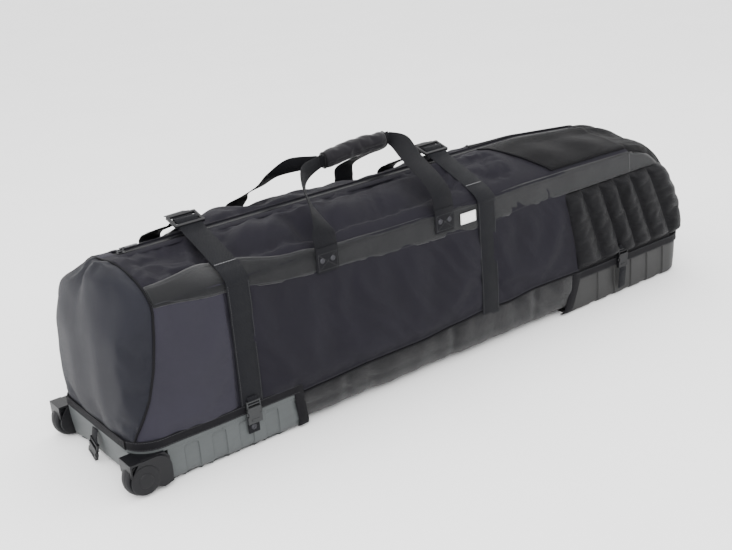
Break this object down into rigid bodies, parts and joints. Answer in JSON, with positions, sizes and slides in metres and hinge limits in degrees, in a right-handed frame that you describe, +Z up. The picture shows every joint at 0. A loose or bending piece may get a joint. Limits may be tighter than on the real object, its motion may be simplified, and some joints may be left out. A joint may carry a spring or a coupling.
{
  "type": "golf travel case",
  "caption": "Long wheeled golf travel case: fabric body on two moulded end trays, top flaps with a zip, carry handles, straps and release buckles.",
  "frame": {"origin": "on the floor, below the middle of the case", "axes": "+X along the case from the wheels to the club heads, +Y across to the far side, +Z up"},
  "size_m": [1.35, 0.305, 0.4203],
  "materials": {
    "black_fabric": "coarse woven polyester, near black",
    "charcoal_fabric": "smooth woven polyester, dark violet grey",
    "end_fabric": "coated fabric with a soft sheen, dark blue grey",
    "black_webbing": "flat woven nylon webbing",
    "binding_tape": "folded woven binding tape",
    "grey_shell": "moulded, fine grain, mid grey with a slight green cast",
    "dark_shell": "moulded, fine grain, dark grey",
    "black_plastic": "moulded acetal, black",
    "tyre_rubber": "smooth polyurethane tread",
    "hub_plastic": "moulded nylon, dark grey",
    "bearing_steel": "ground steel",
    "axle_steel": "plated steel",
    "foam_liner": "fabric-faced foam",
    "zip_tape": "coil zip tape",
    "zip_metal": "dark plated die casting"
  },
  "bodies": {
    "case": {"wheel_end_shell": "grey_shell", "head_end_shell": "dark_shell", "wheel_shell_binding": "binding_tape", "head_shell_binding": "binding_tape", "wheel_end_panel": "end_fabric", "head_end_hood": "black_fabric", "bottom_panel": "black_fabric", "wheel_shell_liner": "foam_liner", "head_shell_liner": "foam_liner", "cinch_strap_1": "black_webbing", "cinch_strap_2": "black_webbing", "pull_handle": "black_webbing", "near_side_wall": "black_fabric", "near_wheel_end_gusset": "charcoal_fabric", "near_ribbed_pad": "black_fabric", "near_reinforcement_band": "black_webbing", "near_side_strap_1": "black_webbing", "near_side_strap_2": "black_webbing", "near_rear_handle_foot": "black_webbing", "near_front_handle_foot": "black_webbing", "near_shell_anchor": "black_webbing", "near_wheel_housing": "black_plastic", "near_axle": "axle_steel", "far_side_wall": "black_fabric", "far_wheel_end_gusset": "charcoal_fabric", "far_ribbed_pad": "black_fabric", "far_reinforcement_band": "black_webbing", "far_side_strap_1": "black_webbing", "far_side_strap_2": "black_webbing", "far_rear_handle_foot": "black_webbing", "far_front_handle_foot": "black_webbing", "far_shell_anchor": "black_webbing", "far_wheel_housing": "black_plastic", "far_axle": "axle_steel"},
    "near_flap": {"near_top_flap": "black_fabric", "near_zip_tape": "zip_tape", "near_cross_strap_1": "black_webbing", "near_cross_strap_2": "black_webbing"},
    "far_flap": {"far_top_flap": "black_fabric", "far_zip_tape": "zip_tape", "far_cross_strap_1": "black_webbing", "far_cross_strap_2": "black_webbing", "cross_buckle_1": "black_plastic", "cross_buckle_2": "black_plastic"},
    "near_handle": {"near_handle_strap": "black_webbing", "grip_wrap": "black_fabric"},
    "far_handle": {"far_handle_strap": "black_webbing"},
    "zip_slider": {"zip_slider": "zip_metal"},
    "zip_pull": {"zip_pull": "zip_metal"},
    "near_wheel": {"near_tyre": "tyre_rubber", "near_wheel_hub": "hub_plastic", "near_bearing_sleeve": "bearing_steel"},
    "far_wheel": {"far_tyre": "tyre_rubber", "far_wheel_hub": "hub_plastic", "far_bearing_sleeve": "bearing_steel"},
    "near_wheel_shell_buckle": {"near_wheel_shell_buckle": "black_plastic"},
    "far_wheel_shell_buckle": {"far_wheel_shell_buckle": "black_plastic"},
    "near_head_shell_buckle": {"near_head_shell_buckle": "black_plastic"},
    "far_head_shell_buckle": {"far_head_shell_buckle": "black_plastic"},
    "wheel_end_buckle": {"wheel_end_buckle": "black_plastic"}
  },
  "joints": [
    {"name": "near_flap_hinge", "type": "hinge", "parent": "case", "child": "near_flap", "pos_m": [0, -0.1475, 0.302], "axis": [1, 0, 0], "range_deg": [0, 110]},
    {"name": "far_flap_hinge", "type": "hinge", "parent": "case", "child": "far_flap", "pos_m": [0, 0.1475, 0.302], "axis": [1, 0, 0], "range_deg": [-110, 0]},
    {"name": "near_handle_hinge", "type": "hinge", "parent": "near_flap", "child": "near_handle", "pos_m": [0, -0.1475, 0.302], "axis": [1, 0, 0], "range_deg": [0, 70]},
    {"name": "far_handle_hinge", "type": "hinge", "parent": "far_flap", "child": "far_handle", "pos_m": [0, 0.1475, 0.302], "axis": [1, 0, 0], "range_deg": [-70, 0]},
    {"name": "zip_slide", "type": "slide", "parent": "near_flap", "child": "zip_slider", "axis": [1, 0, 0], "range_m": [0, 0.98]},
    {"name": "zip_pull_hinge", "type": "hinge", "parent": "zip_slider", "child": "zip_pull", "pos_m": [-0.5615, 0, 0.3466], "axis": [0, -1, 0], "range_deg": [0, 170]},
    {"name": "near_wheel_spin", "type": "hinge", "parent": "case", "child": "near_wheel", "pos_m": [-0.645, -0.1335, 0.03], "axis": [0, 1, 0], "continuous": true},
    {"name": "far_wheel_spin", "type": "hinge", "parent": "case", "child": "far_wheel", "pos_m": [-0.645, 0.1335, 0.03], "axis": [0, 1, 0], "continuous": true},
    {"name": "near_wheel_shell_buckle_swing", "type": "hinge", "parent": "case", "child": "near_wheel_shell_buckle", "pos_m": [-0.4425, -0.1455, 0.0955], "axis": [-1, 0, 0], "range_deg": [0, 100]},
    {"name": "near_head_shell_buckle_swing", "type": "hinge", "parent": "case", "child": "near_head_shell_buckle", "pos_m": [0.445, -0.1455, 0.1075], "axis": [-1, 0, 0], "range_deg": [0, 100]},
    {"name": "far_wheel_shell_buckle_swing", "type": "hinge", "parent": "case", "child": "far_wheel_shell_buckle", "pos_m": [-0.4425, 0.1455, 0.0955], "axis": [1, 0, 0], "range_deg": [0, 100]},
    {"name": "far_head_shell_buckle_swing", "type": "hinge", "parent": "case", "child": "far_head_shell_buckle", "pos_m": [0.445, 0.1455, 0.1075], "axis": [1, 0, 0], "range_deg": [0, 100]},
    {"name": "wheel_end_buckle_swing", "type": "hinge", "parent": "case", "child": "wheel_end_buckle", "pos_m": [-0.6545, 0, 0.0615], "axis": [0, 1, 0], "range_deg": [0, 95]}
  ],
  "couplings": [
    {"joint": "far_flap_hinge", "follows": "near_flap_hinge", "ratio": -1},
    {"joint": "far_handle_hinge", "follows": "near_handle_hinge", "ratio": -1}
  ]
}
